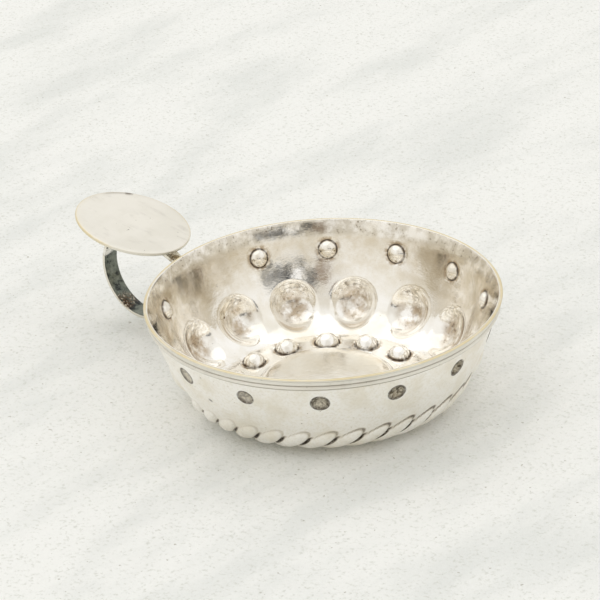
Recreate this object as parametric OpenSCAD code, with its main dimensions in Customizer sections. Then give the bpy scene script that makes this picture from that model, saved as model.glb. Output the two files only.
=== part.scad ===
// Wine taster's cup of silver-plated sheet brass with a strap ring handle and an oval thumb rest.
// Millimetres. The origin is the middle of the foot on the table, +Z is up, the handle points along -X.

/* [Bowl] */
// Outside diameter of the bowl sheet at its rim
rim_d = 80.7; // [76:0.1:90]
// Height of the bowl from the table to its rim
bowl_h = 24.6; // [23:0.2:28]
// Thickness of the bowl sheet
sheet_t = 0.9; // [0.7:0.05:1.1]
// Outside radius of the curve between wall and foot
turn_r = 13.4; // [12.6:0.1:14.4]
// Outside radius of the gently swelling wall
wall_r = 59; // [50:1:75]
// Lean of the wall from upright where it meets the curve
wall_lean = 30; // [28:0.5:32]
// Height of the flare inside the rim
flare_h = 4.4; // [3.6:0.1:4.6]
// Radius of the flare's curve
flare_r = 30; // [28:1:50]
// Thickness of the sheet's edge at the rim
rim_edge = 0.2; // [0.15:0.05:0.4]

/* [Boss] */
// Radius of the raised boss in the floor
boss_r = 16.3; // [10:0.1:17]
// Height of the boss above the floor
boss_h = 2.3; // [1.5:0.1:4]
// Rounding of the boss's shoulder
boss_round = 1.9; // [1.2:0.1:2.2]

/* [Beads] */
// Places in each ring of beads
ring_count = 14; // [14:1:16]
// Depth of the upper bead ring under the rim
bead_drop = 7; // [5:0.1:9]
// Diameter of an upper bead inside the bowl
bead_d = 4.3; // [3:0.1:5]
// Rise of an upper bead inside the bowl
bead_rise = 1.3; // [0.8:0.1:1.6]
// Diameter of a base bead
base_bead_d = 5.2; // [3.5:0.1:5.8]
// Rise of a base bead
base_bead_rise = 2; // [1:0.1:2.2]
// Turn of the base ring from the handle's centre line
base_bead_turn = 2.2; // [-6:0.1:6]
// Thickness of the sheet where a bead is punched
bead_sheet = 0.6; // [0.4:0.05:0.7]

/* [Cups] */
// Number of round cups
cup_count = 8; // [4:1:8]
// Azimuth of the middle of the row of cups
cup_mid = 131.1; // [125:0.1:137]
// Diameter of a cup's mouth
cup_d = 10.8; // [8:0.1:11.4]
// Depth of a cup
cup_depth = 2.3; // [1.4:0.1:2.6]
// Angle of the cups below level on the curve of the wall
cup_tilt = 34.5; // [32:0.5:38]

/* [Gadroons] */
// Number of gadroons
gadroon_count = 14; // [10:1:14]
// Azimuth step from one gadroon to the next
gadroon_step = 10.3; // [9.8:0.1:10.6]
// Turn of the row from the point opposite the cups
gadroon_turn = -1.6; // [-3:0.1:3]
// Angle of a gadroon's middle below level on the curve of the wall
gadroon_tilt = 46.5; // [44:0.5:48]
// Slant of a gadroon from the upright line of the wall
gadroon_slant = 33; // [28:1:38]
// Rise of a gadroon's crest above the wall
gadroon_rise = 1; // [0.8:0.05:1.1]
// Radius of a gadroon's cross section
gadroon_r = 2.25; // [2:0.05:2.3]
// Radius of a gadroon's crest line
gadroon_bend = 9; // [8.4:0.1:9.6]

/* [Rim moulding] */
// Height of the moulding
moulding_h = 2.4; // [2:0.1:3]
// Reach of the lip beyond the bowl sheet
lip_reach = 0.65; // [0.5:0.05:0.9]
// Radius of the lip
lip_r = 0.4; // [0.3:0.05:0.5]
// Reach of the flat band beyond the bowl sheet
band_reach = 0.25; // [0.15:0.05:0.4]
// Radius of the lower bead of the moulding
rim_wire_r = 0.5; // [0.4:0.05:0.6]

/* [Ring handle] */
// Inside diameter of the finger ring
ring_d = 21.2; // [19:0.1:23]
// Thickness of the strip
strip_t = 0.9; // [0.8:0.05:1.2]
// Width of the strip
strip_w = 4.3; // [3.5:0.1:5]
// Distance of the ring's centre beyond the rim
ring_reach = 16.65; // [15.5:0.05:19]
// Depth of the ring's centre below the rim
ring_drop = 10.2; // [9.4:0.1:11]
// Fall of the upper arm towards the bowl
upper_fall = 26; // [23:0.5:28]
// Rise of the lower arm towards the bowl
lower_rise = 13; // [11:0.5:15]
// Depth of the flat filed on the ring under the thumb rest
seat_cut = 0.2; // [0.1:0.05:0.3]

/* [Thumb rest] */
// Length of the oval plate
thumb_l = 30.4; // [26:0.1:34]
// Width of the oval plate
thumb_w = 24; // [20:0.1:28]
// Thickness of the oval plate
thumb_t = 1; // [0.7:0.05:1.4]
// Upward tilt of the plate away from the bowl
thumb_tilt = 10.2; // [8:0.1:12]
// Distance of the plate's middle from its seat, away from the bowl
thumb_shift = 4.3; // [2.5:0.1:5.5]

/* [Solder] */
// Reach of the solder round each joint
solder_s = 0.8; // [0.5:0.05:1]
// Length of the fillets under the thumb rest
solder_l = 6; // [4:0.5:7]

/* [Hidden] */
$fn = 128;
// Facets of a small ball
ball_fn = 64;
// Facets of the wall's large arcs
arc_fn = 512;
// Overshoot of a cut beyond the face that it opens
cut_over = 1;
// Overlap of the flare with the hollow below it
flare_lap = 0.4;

rim_r = rim_d / 2;
// Centre of the wall's arc: it shares the curve's normal where the two meet
wall_z = turn_r + (wall_r - turn_r) * sin(wall_lean);
wall_x = rim_r - sqrt(pow(wall_r, 2) - pow(bowl_h - wall_z, 2));
// Radius of the flat foot, where the curve ends
foot_r = wall_x + (wall_r - turn_r) * cos(wall_lean);

// Ends of the flare's arc, on the wall's inside face and at the rim, and the centre of its circle
flare_z = bowl_h - flare_h;
flare_x = wall_x + sqrt(pow(wall_r - sheet_t, 2) - pow(flare_z - wall_z, 2));
flare_run = [rim_r - rim_edge - flare_x, flare_h];
flare_offset = sqrt(pow(flare_r, 2) - pow(norm(flare_run) / 2, 2));
flare_mid = [flare_x, flare_z] + flare_run / 2 + flare_offset * [flare_run.y, -flare_run.x] / norm(flare_run);

pitch = 360 / ring_count;
handle_az = 180;
gadroon_mid = cup_mid + 180 + gadroon_turn;
// Angle of a gadroon's bend, far enough for both ends to sink in the wall
gadroon_sweep = 90;

bead_ball_r = cap_r(bead_d, bead_rise);
base_ball_r = cap_r(base_bead_d, base_bead_rise);
cup_ball_r = cap_r(cup_d, cup_depth);

ring_x = rim_r + ring_reach;
ring_z = bowl_h - ring_drop;
ring_in = ring_d / 2;
ring_out = ring_in + strip_t;
// Distance of the thumb rest's underside from the ring's centre
seat_r = ring_out - seat_cut;
// Angles round the ring where the arms leave it
upper_at = 90 + upper_fall;
lower_at = -90 - lower_rise;
// Length of an arm from the ring to inside the bowl's wall
arm_l = ring_reach + rim_r / 2;

// Radius of the ball whose cap has this width and height
function cap_r(width, height) = (pow(width / 2, 2) + pow(height, 2)) / (2 * height);

// Radius of the wall's outside face at a height
function wall_at(z) = wall_x + sqrt(pow(wall_r, 2) - pow(z - wall_z, 2));

// Half section of the solid bowl, its outside face moved out by grow
module bowl_section(grow, top) {
    joint_z = turn_r - (turn_r + grow) * sin(wall_lean);
    intersection() {
        union() {
            translate([0, -grow]) square([foot_r, joint_z + grow]);
            translate([foot_r, turn_r]) circle(turn_r + grow, $fn = arc_fn);
        }
        translate([0, -grow]) square([rim_d, joint_z + grow]);
    }
    intersection() {
        translate([wall_x, wall_z]) circle(wall_r + grow, $fn = arc_fn);
        translate([0, joint_z]) square([rim_d, top - joint_z]);
    }
}

// Half section of the flare that widens the hollow at the rim
module flare_section() {
    difference() {
        translate([flare_x - cut_over, flare_z - flare_lap])
            square([cut_over + flare_run.x, flare_h + flare_lap + cut_over]);
        translate(flare_mid) circle(flare_r, $fn = arc_fn);
    }
}

// Half section of the boss, from a start below its foot
module boss_section(radius, height, round_r, below) {
    translate([0, -below]) square([radius, below + height - round_r]);
    translate([0, -below]) square([radius - round_r, below + height]);
    translate([radius - round_r, height - round_r]) circle(round_r);
}

// Places children on the wall's outside face, +X along the outward normal
module on_wall(azimuth, z) {
    rotate([0, 0, azimuth])
        translate([wall_x, 0, wall_z])
            rotate([0, asin((wall_z - z) / wall_r), 0])
                translate([wall_r, 0, 0])
                    children();
}

// Places children on the curve's outside face, +X along the outward normal
module on_turn(azimuth, below) {
    rotate([0, 0, azimuth])
        translate([foot_r, 0, turn_r])
            rotate([0, below, 0])
                translate([turn_r, 0, 0])
                    children();
}

// Balls of the upper bead ring: the handle takes the place of one bead
module bead_balls(shrink) {
    for (i = [1 : ring_count - 1])
        on_wall(handle_az + i * pitch, bowl_h - bead_drop)
            translate([bead_ball_r - bead_rise - sheet_t, 0, 0])
                sphere(bead_ball_r - shrink, $fn = ball_fn);
}

// Balls of the bead ring over the edge of the foot
module base_bead_balls(shrink) {
    for (i = [0 : ring_count - 1])
        rotate([0, 0, handle_az + base_bead_turn + i * pitch])
            translate([foot_r, 0, sheet_t + base_bead_rise - base_ball_r])
                sphere(base_ball_r - shrink, $fn = ball_fn);
}

// Balls of the round cups
module cup_balls(grow) {
    for (i = [0 : cup_count - 1])
        on_turn(cup_mid + (i - (cup_count - 1) / 2) * pitch, cup_tilt)
            translate([cup_depth - sheet_t - cup_ball_r, 0, 0])
                sphere(cup_ball_r + grow);
}

// Slanting lobes of the gadroons: bent round bars whose ends sink in the wall
module gadroon_lobes(shrink) {
    for (i = [0 : gadroon_count - 1])
        on_turn(gadroon_mid + (i - (gadroon_count - 1) / 2) * gadroon_step, gadroon_tilt)
            translate([gadroon_rise - gadroon_bend, 0, 0])
                rotate([90 - gadroon_slant, 0, 0])
                    rotate([0, 0, -gadroon_sweep / 2])
                        rotate_extrude(angle = gadroon_sweep)
                            translate([gadroon_bend - gadroon_r, 0]) circle(gadroon_r - shrink, $fn = ball_fn);
}

// Solid outside shape of the bowl with the backs of its cups
module bowl_outside() {
    rotate_extrude() bowl_section(0, bowl_h);
    cup_balls(sheet_t);
}

// Hollow of the bowl, with the cups and gadroons sunk in its wall and the boss and beads standing in it
module bowl_hollow() {
    difference() {
        union() {
            rotate_extrude() {
                bowl_section(-sheet_t, bowl_h + cut_over);
                flare_section();
            }
            cup_balls(0);
            gadroon_lobes(sheet_t);
        }
        translate([0, 0, sheet_t])
            rotate_extrude() boss_section(boss_r, boss_h, boss_round, sheet_t);
        bead_balls(0);
        base_bead_balls(0);
    }
}

module bowl() {
    color("silver")
        difference() {
            union() {
                bowl_outside();
                gadroon_lobes(0);
            }
            bowl_hollow();
            rotate_extrude() boss_section(boss_r - sheet_t, boss_h, boss_round - sheet_t, cut_over);
            bead_balls(bead_sheet);
            base_bead_balls(bead_sheet);
        }
}

// Lip, flat band and lower bead, cut to the wall that they are soldered to
module rim_moulding() {
    wire_z = bowl_h - moulding_h + rim_wire_r;
    color("lightgoldenrodyellow")
        difference() {
            rotate_extrude() {
                translate([rim_r + lip_reach - lip_r, bowl_h - lip_r]) circle(lip_r, $fn = ball_fn);
                translate([rim_r - cut_over, bowl_h - 2 * lip_r])
                    square([cut_over + lip_reach - lip_r, 2 * lip_r]);
                translate([rim_r - cut_over, wire_z]) square([cut_over + band_reach, bowl_h - wire_z]);
                translate([wall_at(wire_z) + band_reach, wire_z]) circle(rim_wire_r, $fn = ball_fn);
            }
            rotate_extrude() bowl_section(0, bowl_h + cut_over);
        }
}

// Turns the plane of the ring upright on the handle's side: +X away from the bowl, +Y up
module handle_plane() {
    rotate([0, 0, handle_az])
        rotate([90, 0, 0])
            translate([ring_x, ring_z, 0])
                children();
}

// Straight arm that leaves the ring at an angle, thicker by grow all round
module arm(at, direction, grow) {
    rotate([0, 0, at])
        translate([ring_in - grow, direction > 0 ? 0 : -arm_l, -strip_w / 2 - grow])
            cube([strip_t + 2 * grow, arm_l, strip_w + 2 * grow]);
}

// One bent strip, scribed to the wall and filed flat under the thumb rest
module ring_handle() {
    color("slategray")
        difference() {
            handle_plane() {
                rotate([0, 0, lower_at])
                    rotate_extrude(angle = upper_at - lower_at)
                        translate([ring_in, -strip_w / 2]) square([strip_t, strip_w]);
                arm(upper_at, 1, 0);
                arm(lower_at, -1, 0);
            }
            bowl_outside();
            handle_plane()
                rotate([0, 0, 90 + thumb_tilt])
                    translate([seat_r, -ring_out, -strip_w])
                        cube([strip_t, 2 * ring_out, 2 * strip_w]);
        }
}

// Oval plate that stands on the ring's flat
module thumb_rest() {
    color("gainsboro")
        handle_plane()
            rotate([0, 0, 90 + thumb_tilt])
                translate([seat_r, -thumb_shift, 0])
                    rotate([0, 90, 0])
                        linear_extrude(thumb_t)
                            scale([thumb_w / 2, thumb_l / 2]) circle(1);
}

// Collar of solder round an arm, as far as the solder reaches from the wall
module arm_solder(at, direction) {
    difference() {
        intersection() {
            handle_plane() arm(at, direction, solder_s);
            rotate_extrude() bowl_section(solder_s, bowl_h);
        }
        bowl_outside();
        handle_plane() arm(at, direction, 0);
    }
}

module upper_solder() {
    color("darkkhaki") arm_solder(upper_at, 1);
}

module lower_solder() {
    color("darkkhaki") arm_solder(lower_at, -1);
}

// Fillets along both edges of the ring, under the thumb rest
module thumb_solder() {
    color("darkkhaki")
        handle_plane()
            rotate([0, 0, 90 + thumb_tilt])
                for (side = [0, 1])
                    mirror([0, 0, side])
                        translate([seat_r, 0, strip_w / 2])
                            rotate([90, 0, 0])
                                linear_extrude(solder_l, center = true)
                                    polygon([[0, 0], [0, solder_s], [-solder_s, 0]]);
}

bowl();
rim_moulding();
ring_handle();
thumb_rest();
upper_solder();
lower_solder();
thumb_solder();
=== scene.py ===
"""Wine taster's cup of silver-plated brass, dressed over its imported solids.

Lengths in the dataclasses are millimetres and are turned to metres when a mesh is made.
The frame is the solids' own: origin under the middle of the foot, +Z up, handle along -X.
"""

import logging
import math
from collections.abc import Callable
from dataclasses import dataclass
from enum import Enum

import bpy
import numpy as np
from mathutils import Matrix, Vector, noise


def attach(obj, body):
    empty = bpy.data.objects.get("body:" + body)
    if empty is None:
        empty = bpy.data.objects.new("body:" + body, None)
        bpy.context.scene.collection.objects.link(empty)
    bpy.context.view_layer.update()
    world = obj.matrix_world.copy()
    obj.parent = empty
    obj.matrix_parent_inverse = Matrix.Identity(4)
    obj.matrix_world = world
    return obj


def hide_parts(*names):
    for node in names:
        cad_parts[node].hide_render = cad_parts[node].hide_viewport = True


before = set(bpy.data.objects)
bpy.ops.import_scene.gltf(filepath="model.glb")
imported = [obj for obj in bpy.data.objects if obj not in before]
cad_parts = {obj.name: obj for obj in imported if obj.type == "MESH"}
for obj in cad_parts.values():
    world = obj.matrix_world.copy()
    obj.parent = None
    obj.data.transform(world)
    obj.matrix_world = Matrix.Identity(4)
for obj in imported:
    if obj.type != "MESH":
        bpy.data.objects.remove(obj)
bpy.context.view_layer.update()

MM = 0.001
# Points closer than this, in millimetres, are merged
DOUBLES = 0.002
# Distance in millimetres that stands for far from every bead and cup
FAR_OFF = 3.0
BODY = "root"
LOG = logging.getLogger("tastevin")


class Slot(Enum):
    """Material slots of the part's record."""

    SILVER = "silver_plate"
    WORN = "worn_plate"
    SOLDER = "solder"


class Face(Enum):
    """Side of the bowl sheet that a row of the mesh lies on."""

    OUTSIDE = 0
    INSIDE = 1
    PLAIN = 2


def linear(code: str) -> tuple[float, float, float, float]:
    """Turns an sRGB hex colour to linear.

    Args:
        code: six hex digits, such as "EFE9DE".

    Returns:
        Linear red, green and blue, and an alpha of 1.
    """
    parts = [int(code[i:i + 2], 16) / 255 for i in (0, 2, 4)]
    red, green, blue = (c / 12.92 if c <= 0.04045 else ((c + 0.055) / 1.055) ** 2.4 for c in parts)
    return red, green, blue, 1.0


def add(
    tree: bpy.types.NodeTree, kind: str, links: dict | None = None, **settings: object
) -> bpy.types.Node:
    """Adds one node with its settings, values and links.

    Args:
        tree: the node tree of a material or of the world.
        kind: the node's type name.
        links: input name or index to a value, or to the output socket that feeds it.
        settings: properties of the node.

    Returns:
        The new node.
    """
    node = tree.nodes.new(kind)
    for name, value in settings.items():
        setattr(node, name, value)
    for name, value in (links or {}).items():
        if isinstance(value, bpy.types.NodeSocket):
            tree.links.new(value, node.inputs[name])
        else:
            node.inputs[name].default_value = value
    return node


@dataclass(frozen=True)
class Grain:
    """Noise of a real blot size in millimetres, which a finish reads by name."""

    name: str
    size: float
    detail: float = 3.0
    stretch: tuple[float, float, float] = (1.0, 1.0, 1.0)
    shift: float = 0.0
    harsh: float = 0.6


@dataclass(frozen=True)
class Span:
    """An input of a finish, eased from one value to another while it goes from low to high."""

    source: str
    low: float
    high: float
    start: float = 0.0
    end: float = 1.0


INSIDE = Span("inside", 0.4, 0.6)
OUTSIDE = Span("inside", 0.6, 0.4)


@dataclass(frozen=True)
class Stain:
    """A colour over what lies under it, as far as the product of its spans says.

    It may also roughen the surface, and sink it by a depth in millimetres.
    """

    name: str
    colour: str
    spans: tuple[Span, ...]
    cover: float = 1.0
    rough: float = 0.0
    depth: float = 0.0


@dataclass(frozen=True)
class Finish:
    """A finish that is laid on a piece as one procedural material.

    Its roughness is the sum of the rough spans. Each relief entry lifts the surface by a grain times
    millimetres.
    """

    name: str
    base: str
    fields: tuple[str, ...]
    grains: tuple[Grain, ...]
    stains: tuple[Stain, ...]
    rough: tuple[Span, ...]
    relief: tuple[tuple[str, float], ...]
    metal: float = 1.0
    specular: float = 0.5

    def make(self) -> bpy.types.Material:
        """Makes the material, with the stains laid over the base one by one.

        Returns:
            The material.
        """
        material = bpy.data.materials.new(self.name)
        material.use_nodes = True
        tree = material.node_tree
        tree.nodes.clear()
        links = {"Metallic": self.metal, "Specular IOR Level": self.specular}
        shader = add(tree, "ShaderNodeBsdfPrincipled", links)
        add(tree, "ShaderNodeOutputMaterial", {"Surface": shader.outputs["BSDF"]})
        sources = self.sources(tree)
        colour, rough, height = linear(self.base), 0.0, 0.0
        for span in self.rough:
            eased = self.eased(tree, sources, span)
            rough = add(tree, "ShaderNodeMath", {0: eased, 1: rough}, operation="ADD").outputs[0]
        for source, lift in self.relief:
            links = {0: sources[source], 1: lift, 2: height}
            height = add(tree, "ShaderNodeMath", links, operation="MULTIPLY_ADD").outputs[0]
        for stain in self.stains:
            mask = stain.cover
            for span in stain.spans:
                links = {0: self.eased(tree, sources, span), 1: mask}
                mask = add(tree, "ShaderNodeMath", links, operation="MULTIPLY").outputs[0]
            links = {0: mask, 6: colour, 7: linear(stain.colour)}
            colour = add(tree, "ShaderNodeMix", links, data_type="RGBA", label=stain.name).outputs[2]
            if stain.rough:
                links = {0: mask, 1: stain.rough, 2: rough}
                rough = add(tree, "ShaderNodeMath", links, operation="MULTIPLY_ADD").outputs[0]
            if stain.depth:
                links = {0: mask, 1: -stain.depth, 2: height}
                height = add(tree, "ShaderNodeMath", links, operation="MULTIPLY_ADD").outputs[0]
        bump = add(tree, "ShaderNodeBump", {"Height": height, "Distance": MM, "Strength": 1.0})
        tree.links.new(colour, shader.inputs["Base Color"])
        tree.links.new(rough, shader.inputs["Roughness"])
        tree.links.new(bump.outputs["Normal"], shader.inputs["Normal"])
        return material

    def sources(self, tree: bpy.types.NodeTree) -> dict[str, bpy.types.NodeSocket]:
        """Adds what the finish reads: the piece's own fields and the grains.

        Args:
            tree: the material's node tree.

        Returns:
            The socket of each field and each grain by its name.
        """
        found = {}
        for name in self.fields:
            found[name] = add(tree, "ShaderNodeAttribute", attribute_name=name).outputs["Fac"]
        place = add(tree, "ShaderNodeTexCoord").outputs["Object"]
        for grain in self.grains:
            links = {"Vector": place, "Location": (grain.shift,) * 3, "Scale": grain.stretch}
            mapped = add(tree, "ShaderNodeMapping", links).outputs["Vector"]
            links = {"Vector": mapped, "Scale": 1 / (grain.size * MM)}
            links |= {"Detail": grain.detail, "Roughness": grain.harsh}
            found[grain.name] = add(tree, "ShaderNodeTexNoise", links).outputs["Fac"]
        return found

    def eased(
        self, tree: bpy.types.NodeTree, sources: dict[str, bpy.types.NodeSocket], span: Span
    ) -> bpy.types.NodeSocket:
        """Adds one eased input.

        Args:
            tree: the material's node tree.
            sources: the sockets that the finish reads.
            span: the input and how it is eased.

        Returns:
            The eased value.
        """
        links = {"Value": sources[span.source], "From Min": span.low, "From Max": span.high}
        links |= {"To Min": span.start, "To Max": span.end}
        return add(tree, "ShaderNodeMapRange", links, interpolation_type="SMOOTHSTEP").outputs["Result"]


@dataclass(frozen=True)
class ChasedSilverPlate(Finish):
    """Silver plate on chased sheet brass.

    Rubbed bright inside and satin outside, with brown tarnish where a cloth doesn't reach: round the beads,
    in the cups and in the backs of the beads. The dark round and between the gadroons and under the rim is
    painted shade with some dirt, and the backs and grooves are painted darker on the side away from the
    lamp.
    """

    name: str = "chased_silver_plate"
    base: str = "FFFDF9"
    fields: tuple[str, ...] = (
        "inside", "dull", "flare", "bead_edge", "cup_edge", "groove", "boss_edge", "scar", "away_from_lamp",
    )
    # Blots of 9 mm and clouds of 3 mm are what an old plated surface shows at arm's length. Rubbing leaves
    # fine lines that run round the bowl, drawn about three times as coarse as real so that they show
    grains: tuple[Grain, ...] = (
        Grain("blots", 9.0, 4.0),
        Grain("clouds", 3.0, 5.0, shift=2.0),
        Grain("mottle", 1.3, 2.0, shift=13.0),
        Grain("specks", 0.6, 2.0, shift=5.0),
        Grain("rubbed", 1.1, 2.0, (1.0, 1.0, 5.0), 9.0),
    )
    stains: tuple[Stain, ...] = (
        Stain("warm clouds", "F4EFE4", (Span("blots", 0.42, 0.70),)),
        Stain("dull on wall and boss", "E6DCC8", (Span("dull", 0.0, 1.0), Span("clouds", 0.3, 0.7)), 0.6),
        Stain("dull boss", "ECE9E1", (Span("dull", 1.0, 2.0),), 0.75, 0.06),
        Stain("tarnish near the handle", "C4B8A2", (
            Span("away_from_lamp", 0.3, 0.05), Span("dull", 0.2, 0.8), Span("blots", 0.35, 0.60),
        ), 0.6),
        Stain("tarnish across from the handle", "D0C5B0", (
            Span("away_from_lamp", 0.97, 1.0), Span("dull", 0.2, 0.8), Span("blots", 0.35, 0.60),
        ), 0.5),
        Stain("brown in the cups", "B49F82", (
            Span("cup_edge", -0.4, -3.0), Span("clouds", 0.34, 0.62),
        ), 0.85, 0.16),
        Stain("specks in the cups", "5A4A38", (
            Span("cup_edge", -0.8, -2.6), Span("specks", 0.60, 0.68), Span("clouds", 0.40, 0.60),
        ), 0.75),
        Stain("halo of the beads", "A99374", (
            Span("bead_edge", 1.5, 0.25), Span("bead_edge", -0.35, 0.0), INSIDE, Span("mottle", 0.36, 0.60),
        ), 0.8),
        Stain("line round the beads", "3A2C1F", (
            Span("bead_edge", 0.40, 0.16), Span("bead_edge", -0.25, 0.05),
            Span("mottle", 0.25, 0.60, 0.5, 1.0),
        ), 0.95),
        # Dirt in the backs of the beads, painted darker on the side away from the lamp as painted shade
        Stain("grey in the backs", "AAA18E", (
            Span("bead_edge", 0.1, -0.2), OUTSIDE, Span("away_from_lamp", 0.0, 1.0, 0.5, 1.0),
        ), 0.95, 0.1),
        Stain("dirt and painted shade in the backs", "4A3F31", (
            Span("bead_edge", 0.0, -0.3), OUTSIDE, Span("mottle", 0.42, 0.58),
            Span("away_from_lamp", 0.0, 1.0, 0.35, 1.0),
        ), 0.85, 0.1, 0.05),
        Stain("grains in the backs", "E2DDCF", (
            Span("bead_edge", -0.2, -0.5), OUTSIDE, Span("specks", 0.52, 0.64),
        ), 0.8, 0.1, -0.03),
        Stain("line in the backs", "4A4034", (
            Span("bead_edge", 0.12, -0.05), Span("bead_edge", -0.38, -0.12), OUTSIDE,
            Span("mottle", 0.2, 0.6, 0.4, 1.0), Span("away_from_lamp", 0.0, 1.0, 0.6, 1.0),
        ), 0.8),
        Stain("line round the boss", "9C876B", (
            Span("boss_edge", 0.2, 0.8), Span("clouds", 0.35, 0.60),
        ), 0.65),
        # Painted shade with some dirt round and between the gadroons, and a painted shadow line under the
        # rim
        Stain("brown round the gadroons", "A08C6C", (Span("groove", 0.30, 0.55),), 0.55),
        Stain("painted shadow between the gadroons", "2E241A", (Span("groove", 0.44, 0.64),), 0.95),
        Stain("old scar", "4A3C2C", (Span("scar", 0.2, 0.8),), 0.9, 0.1, 0.1),
        Stain("fine wear outside", "EAE5D8", (Span("specks", 0.45, 0.65), OUTSIDE), 0.35),
        Stain("pits", "4A3D30", (Span("specks", 0.715, 0.75), Span("clouds", 0.5, 0.6)), 0.75),
        Stain("tarnish under the rim", "CCC4B4", (
            Span("flare", 0.0, 1.0), Span("clouds", 0.36, 0.60),
        ), 0.75),
        Stain("pits under the rim", "6A5945", (
            Span("flare", 0.2, 1.0), Span("specks", 0.61, 0.68), Span("clouds", 0.44, 0.60),
        ), 0.8, 0.1, 0.03),
    )
    rough: tuple[Span, ...] = (Span("rubbed", 0.3, 0.7, 0.50, 0.58), Span("inside", 0.4, 0.6, 0.0, -0.43))
    relief: tuple[tuple[str, float], ...] = (("blots", 0.11), ("rubbed", 0.008))


@dataclass(frozen=True)
class WornSilverPlate(Finish):
    """Satin silver plate worn through on its edges.

    The yellow brass shows along the edges that hands and cloths reach, with dark dirt in the crevices; on
    the moulding the dark under the lower bead is painted shade.
    """

    name: str = "worn_silver_plate"
    base: str = "EEEBE3"
    fields: tuple[str, ...] = ("wear", "crevice")
    grains: tuple[Grain, ...] = (
        Grain("blots", 11.0, 4.0, shift=1.0),
        Grain("clouds", 2.6, 4.0, shift=3.0),
        Grain("smears", 7.0, 5.0, (1.0, 2.6, 1.0), 15.0),
        Grain("specks", 0.5, 2.0, shift=7.0),
    )
    stains: tuple[Stain, ...] = (
        Stain("warm clouds", "E8E5DC", (Span("blots", 0.40, 0.62),)),
        Stain("grey smears", "CBC7BF", (Span("smears", 0.55, 0.72),), 0.35),
        Stain("bare brass", "E8D7A8", (
            Span("wear", 0.0, 1.0), Span("blots", 0.30, 0.55, 0.45, 1.0), Span("clouds", 0.2, 0.5, 0.6, 1.0),
        ), 0.75),
        # Dirt in the crevices, and painted shade under the moulding's lower bead
        Stain("dirt and painted shade in the crevices", "5A4A39", (
            Span("crevice", 0.1, 0.9), Span("clouds", 0.25, 0.55, 0.55, 1.0),
        ), 0.9),
        Stain("pits", "4A3D30", (Span("specks", 0.70, 0.74), Span("clouds", 0.52, 0.60)), 0.9),
    )
    rough: tuple[Span, ...] = (Span("clouds", 0.3, 0.7, 0.36, 0.48),)
    relief: tuple[tuple[str, float], ...] = (("blots", 0.10),)


@dataclass(frozen=True)
class TarnishedStrip(Finish):
    """Silver-plated brass strip that nobody polishes inside the ring.

    Its inner face has gone grey and black, its edges stay pale, and a patch near the bowl is corroded brown.
    """

    name: str = "tarnished_plated_strip"
    base: str = "E9E4D8"
    fields: tuple[str, ...] = ("inner_face", "patch", "run", "arm")
    grains: tuple[Grain, ...] = (Grain("clouds", 2.2, 4.0, shift=4.0), Grain("specks", 0.6, 3.0, shift=6.0))
    stains: tuple[Stain, ...] = (
        Stain("flux by the upper joint", "8F7850", (
            Span("arm", 0.0, 0.8), Span("clouds", 0.36, 0.58),
        ), 0.85, 0.1),
        Stain("grey tarnish", "6E736A", (Span("inner_face", 0.0, 1.0), Span("clouds", 0.2, 0.5, 0.8, 1.0))),
        Stain("black tarnish", "2C2E30", (Span("inner_face", 0.3, 1.0), Span("clouds", 0.46, 0.60)), 0.9),
        Stain("brown corrosion", "6E543C", (
            Span("patch", 0.0, 1.0), Span("specks", 0.38, 0.55),
        ), 0.95, 0.3, 0.15),
        Stain("white crust", "E8E3D7", (Span("patch", 0.0, 1.0), Span("specks", 0.54, 0.62)), 0.95, 0.4),
        Stain("run of silver solder", "F4F1EA", (Span("run", 0.1, 0.8),), 1.0, 0.1, -0.25),
    )
    rough: tuple[Span, ...] = (Span("clouds", 0.3, 0.7, 0.16, 0.32),)
    relief: tuple[tuple[str, float], ...] = (("clouds", 0.08),)


@dataclass(frozen=True)
class BrazingSolder(Finish):
    """Brazing solder that ran and set: pale yellowish metal, uneven, with brown flux in its hollows."""

    name: str = "brazing_solder"
    base: str = "DDD2BC"
    fields: tuple[str, ...] = ()
    grains: tuple[Grain, ...] = (Grain("clouds", 1.2, 4.0, shift=8.0),)
    stains: tuple[Stain, ...] = (Stain("brown flux", "7A6247", (Span("clouds", 0.45, 0.65),)),)
    rough: tuple[Span, ...] = (Span("clouds", 0.3, 0.7, 0.28, 0.5),)
    relief: tuple[tuple[str, float], ...] = (("clouds", 0.25),)


@dataclass(frozen=True)
class PaintedPlaster(Finish):
    """Matt painted plaster: pale, brushed, with a fine grit and rare dark specks."""

    name: str = "painted_plaster"
    base: str = "FAFBF9"
    fields: tuple[str, ...] = ()
    grains: tuple[Grain, ...] = (
        Grain("clouds", 26.0, 5.0, (1.0, 0.35, 1.0)),
        Grain("grit", 0.9, 3.0, shift=3.0),
        Grain("rare", 1.3, 1.0, shift=11.0),
    )
    stains: tuple[Stain, ...] = (
        Stain("brush marks", "E3E6E4", (Span("clouds", 0.42, 0.68),), 0.6),
        Stain("grit", "D3D5CD", (Span("grit", 0.52, 0.74),), 0.6),
        Stain("specks", "9C9686", (Span("rare", 0.75, 0.81),), 0.55),
    )
    rough: tuple[Span, ...] = (Span("grit", 0.0, 1.0, 0.85, 0.85),)
    relief: tuple[tuple[str, float], ...] = (("grit", 0.34),)
    metal: float = 0.0
    specular: float = 0.2


def new_piece(name: str, primitive: Callable, **settings: object) -> bpy.types.Object:
    """Adds a primitive at the origin, with all of it selected in edit mode and nothing else selected.

    Args:
        name: the piece's name.
        primitive: the operator that adds it.
        settings: the operator's settings.

    Returns:
        The new object.
    """
    bpy.ops.object.select_all(action="DESELECT")
    primitive(location=(0, 0, 0), **settings)
    piece = bpy.context.object
    piece.name = name
    piece.data.name = name
    bpy.ops.object.mode_set(mode="EDIT")
    bpy.ops.mesh.select_all(action="SELECT")
    return piece


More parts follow.
